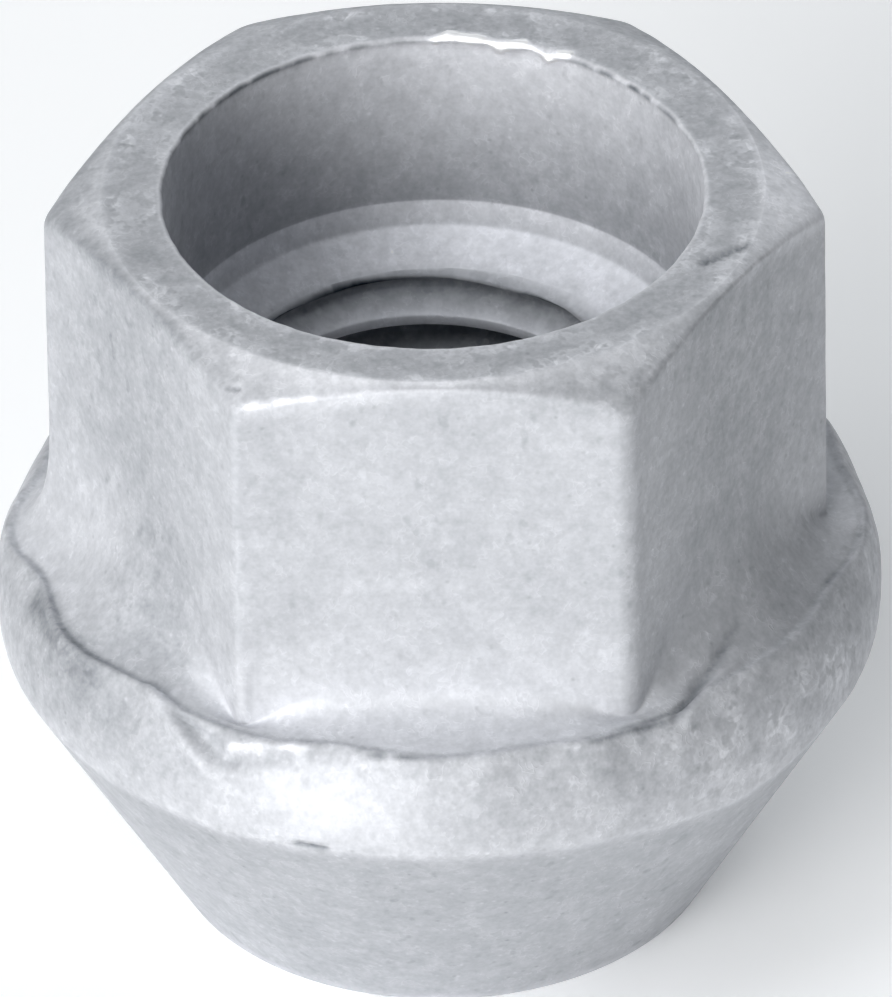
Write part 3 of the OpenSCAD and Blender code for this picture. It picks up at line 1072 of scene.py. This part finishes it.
def coating_material(look):
    """Matte silver-grey flake coating, mottled, grained, pitted and rubbed bright along the edges, and
    lighter or darker by the skin's tone, which paints light and shade.
    """
    material = bpy.data.materials.new("flake_coating")
    material.use_nodes = True
    tree = Tree(material.node_tree)
    shader = material.node_tree.nodes["Principled BSDF"]
    place = tree.scaled(tree.node("ShaderNodeTexCoord", output="Object"), 1 / MM)
    finish = tree.node("ShaderNodeAttribute", {"attribute_name": FINISH}, output="Vector")
    rubbed, rough, tone = tree.parts(finish)

    def noise(pattern, vector=place):
        scale, detail, distortion = pattern
        sockets = {"Vector": vector, "Scale": scale, "Detail": detail, "Distortion": distortion}
        return tree.node("ShaderNodeTexNoise", None, sockets) - NOISE_MIDDLE

    cloud = noise(CLOUD)
    swirl = noise(SWIRL)
    curl = noise(CURL)
    fleck = noise(FLECK)
    grain = noise(GRAIN)
    cells = tree.node("ShaderNodeTexVoronoi", {"feature": "F1"}, {"Vector": place, "Scale": SPECKS_PER_MM})
    chance = tree.parts(tree.node_output(cells, "Color"))
    speck = (1 - cells * SPECK_SHARPNESS).calc("MAXIMUM", 0.0)
    pit = speck * step_up(chance[0], *PIT_RISE)
    spark = speck * step_up(chance[1], *SPARK_RISE)
    scuff = step_up(noise(SCUFF) + rough * SCUFF_BY_ROUGH, *SCUFF_RISE)
    stretched = {"Vector": place, "Rotation": STROKE_TURN, "Scale": STROKE_STRETCH}
    stroke = noise(STROKE, tree.node("ShaderNodeMapping", None, stretched))
    dent = step_up(stroke, *STROKE_RISE)
    scrape = step_up(-stroke, *STROKE_RISE)
    squiggle = step_up(-curl.calc("ABSOLUTE"), *SQUIGGLE_RISE) * step_up(swirl, *SQUIGGLE_PATCH_RISE)
    torn = step_up(cloud * TORN_BY_CLOUD + (rough - TORN_FROM_ROUGH) * TORN_BY_ROUGH, *TORN_RISE)
    lace = step_up(-swirl.calc("ABSOLUTE"), *LACE_RISE) * torn
    wholly_rubbed = step_up(rubbed, *WHOLLY_RUBBED_RISE)
    patch = step_up(noise(RUBBED_PATCH), *RUBBED_PATCH_RISE).calc("MAXIMUM", wholly_rubbed)
    bright = (rubbed * patch * RUBBED_GAIN).calc("MINIMUM", 1.0)

    mottled = rough.calc("MINIMUM", MOST_MOTTLED_ROUGH)
    light = PLAIN_LIGHT + tone
    for pattern, (smooth_share, rough_share) in (
            (cloud, CLOUD_LIGHT), (swirl, SWIRL_LIGHT), (curl, CURL_LIGHT), (fleck, FLECK_LIGHT),
            (grain, GRAIN_LIGHT)):
        light = light + pattern * (smooth_share + mottled * rough_share)
    light = light + scuff * (SCUFF_LIGHT[0] + torn * rough * SCUFF_LIGHT[1])
    light = light + scrape * SCRAPE_LIGHT + spark * SPARK_LIGHT + bright * RUBBED_LIGHT
    light = light + lace * (rough - LACE_FROM_ROUGH).calc("MAXIMUM", 0.0) * LACE_LIGHT
    light = light + squiggle * SQUIGGLE_LIGHT + pit * PIT_LIGHT + dent * DENT_LIGHT
    shade, glow = (
        [part * level + tint * (1 - level) for part, tint in zip(look.coating, COOL_SHADE)]
        for level in (DARK_LEVEL, LIGHT_LEVEL))
    share = (light - DARK_LEVEL) / (LIGHT_LEVEL - DARK_LEVEL)
    colour = tree.node(
        "ShaderNodeMix", {"data_type": "RGBA", "clamp_factor": False},
        {0: share, 6: (*shade, 1.0), 7: (*glow, 1.0)}, 2)
    tree.feed(shader.inputs["Base Color"], colour)
    tree.feed(shader.inputs["Roughness"], look.roughness - bright * RUBBED_GLOSS + swirl * SWIRL_ROUGHNESS)
    shader.inputs["Metallic"].default_value = look.metallic
    relief = swirl * SWIRL_RELIEF + curl * CURL_RELIEF + squiggle * SQUIGGLE_RELIEF
    bump = tree.node(
        "ShaderNodeBump", None, {"Strength": RELIEF_STRENGTH, "Distance": RELIEF_DEPTH, "Height": relief})
    tree.feed(shader.inputs["Normal"], bump)
    return material


def plain_mesh_object(name, tree, values):
    """Object whose plain mesh is what the tree makes with these values."""
    carrier = bpy.data.objects.new(name, bpy.data.meshes.new(name))
    bpy.context.scene.collection.objects.link(carrier)
    modifier = carrier.modifiers.new("Skin", "NODES")
    modifier.node_group = tree
    for item in tree.interface.items_tree:
        if item.in_out == "INPUT" and item.name in values:
            modifier[item.identifier] = values[item.name]
    evaluated = carrier.evaluated_get(bpy.context.evaluated_depsgraph_get())
    mesh = bpy.data.meshes.new_from_object(evaluated)
    carrier.modifiers.remove(modifier)
    carrier.data = mesh
    mesh.name = name
    return carrier


class WHEELNUT_OT_nut(bpy.types.Operator):
    """Build the nut's skin over its CAD solid and coat it"""

    bl_idname = "wheel_nut.build_nut"
    bl_label = "Build nut"

    def execute(self, context):
        sizes = context.scene.wheel_nut_sizes
        values = size_values(sizes)
        values["Material"] = coating_material(context.scene.wheel_nut_look)
        nut = plain_mesh_object("nut", nut_tree(sizes), values)
        if not nut.data.polygons:
            raise RuntimeError("the nut's tree made no faces")
        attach(nut, "root")
        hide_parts(NODE)
        return {"FINISHED"}


# Where the camera stands and what it looks at, its roll, and its lens for the picture's width
CAMERA_FROM = Vector((9.745, -575.443, 420.842)) * MM
CAMERA_AIM = Vector((0.302, -4.957, 15.318)) * MM
CAMERA_ROLL = math.radians(-0.923)
PICTURE_WIDTH = 892
FOCAL_PIXELS = 25140.4
SENSOR_WIDTH = 36.0


class Lamp(typing.NamedTuple):
    """A soft light: its azimuth from the front and height in degrees, its power in watts, and its colour"""

    name: str
    azimuth: float
    elevation: float
    power: float
    colour: tuple = (1.0, 1.0, 1.0)


COOL_LIGHT = (0.95, 0.975, 1.0)
LAMPS = (
    Lamp("key", -30, 20, 4.7),
    Lamp("key_right", -21, 20, 1.45),
    Lamp("key_high", -45, 38, 1.35),
    Lamp("front_low", -20, 6, 2.2),
    Lamp("upper_left", -60, 56, 1.85, COOL_LIGHT),
    Lamp("back_right", 145, 30, 1.1, COOL_LIGHT),
    Lamp("back", 180, 35, 1.15, COOL_LIGHT),
    Lamp("back_left", -145, 30, 0.6, COOL_LIGHT),
    Lamp("overhead", 0, 89, 0.62, COOL_LIGHT),
)
LAMP_DISTANCE = 0.9
LAMP_SIZE = 0.45
LAMP_AIM = Vector((0, 0, 10 * MM))

# Floor and room
FLOOR_REACH = 3.0
FLOOR_ROUGHNESS = 0.7
FLOOR_GLOW_COLOUR = (0.94, 0.97, 1, 1)
ROOM_COLOUR = (0.8, 0.9, 1, 1)
ROOM_STRENGTH = 0.03


def soft_light(lamp, brightness):
    """Square soft light that faces the nut."""
    turn, rise = math.radians(lamp.azimuth), math.radians(lamp.elevation)
    outward = Vector((math.sin(turn) * math.cos(rise), -math.cos(turn) * math.cos(rise), math.sin(rise)))
    light = bpy.data.lights.new(lamp.name, "AREA")
    light.energy = lamp.power * brightness
    light.size = LAMP_SIZE
    light.color = lamp.colour
    holder = bpy.data.objects.new(lamp.name, light)
    holder.location = LAMP_AIM + outward * LAMP_DISTANCE
    holder.rotation_euler = (-outward).to_track_quat("-Z", "Y").to_euler()
    bpy.context.scene.collection.objects.link(holder)


class WHEELNUT_OT_studio(bpy.types.Operator):
    """Set up the floor, the soft light and the camera"""

    bl_idname = "wheel_nut.build_studio"
    bl_label = "Build studio"

    def execute(self, context):
        scene = context.scene
        look = scene.wheel_nut_studio
        scene.view_settings.view_transform = "Standard"

        floor_mesh = bpy.data.meshes.new("floor")
        reach = FLOOR_REACH
        floor_corners = [(-reach, -reach, 0), (reach, -reach, 0), (reach, reach, 0), (-reach, reach, 0)]
        floor_mesh.from_pydata(floor_corners, [], [(0, 1, 2, 3)])
        floor = bpy.data.objects.new("floor", floor_mesh)
        scene.collection.objects.link(floor)
        paint = bpy.data.materials.new("pale_floor")
        paint.use_nodes = True
        shader = paint.node_tree.nodes["Principled BSDF"]
        shader.inputs["Base Color"].default_value = (*look.floor_colour, 1)
        shader.inputs["Roughness"].default_value = FLOOR_ROUGHNESS
        shader.inputs["Emission Color"].default_value = FLOOR_GLOW_COLOUR
        shader.inputs["Emission Strength"].default_value = look.floor_glow
        floor_mesh.materials.append(paint)

        world = bpy.data.worlds.new("white_room")
        world.use_nodes = True
        background = world.node_tree.nodes["Background"]
        background.inputs["Color"].default_value = ROOM_COLOUR
        background.inputs["Strength"].default_value = ROOM_STRENGTH
        scene.world = world

        for lamp in LAMPS:
            soft_light(lamp, look.brightness)

        camera = bpy.data.objects.new("camera", bpy.data.cameras.new("camera"))
        camera.data.sensor_fit = "HORIZONTAL"
        camera.data.sensor_width = SENSOR_WIDTH
        camera.data.lens = FOCAL_PIXELS / PICTURE_WIDTH * SENSOR_WIDTH
        camera.location = CAMERA_FROM
        camera.rotation_mode = "QUATERNION"
        facing = (CAMERA_AIM - CAMERA_FROM).to_track_quat("-Z", "Y")
        camera.rotation_quaternion = facing @ Quaternion((0, 0, 1), CAMERA_ROLL)
        scene.collection.objects.link(camera)
        scene.camera = camera
        return {"FINISHED"}


class WHEELNUT_PT_panel(bpy.types.Panel):
    """Lists the steps that build the nut"""

    bl_idname = "WHEELNUT_PT_panel"
    bl_label = "Wheel nut"
    bl_space_type = "VIEW_3D"
    bl_region_type = "UI"
    bl_category = "Wheel Nut"

    def draw(self, context):
        for operator in (WHEELNUT_OT_nut, WHEELNUT_OT_studio):
            self.layout.operator(operator.bl_idname)


CLASSES = (NutSizes, CoatingLook, StudioLook, WHEELNUT_OT_nut, WHEELNUT_OT_studio, WHEELNUT_PT_panel)


def register():
    for cls in CLASSES:
        bpy.utils.register_class(cls)
    bpy.types.Scene.wheel_nut_sizes = bpy.props.PointerProperty(type=NutSizes)
    bpy.types.Scene.wheel_nut_look = bpy.props.PointerProperty(type=CoatingLook)
    bpy.types.Scene.wheel_nut_studio = bpy.props.PointerProperty(type=StudioLook)


def unregister():
    del bpy.types.Scene.wheel_nut_studio
    del bpy.types.Scene.wheel_nut_look
    del bpy.types.Scene.wheel_nut_sizes
    for cls in reversed(CLASSES):
        bpy.utils.unregister_class(cls)


def main():
    register()
    bpy.ops.wheel_nut.build_nut()
    bpy.ops.wheel_nut.build_studio()


if __name__ == "__main__":
    main()
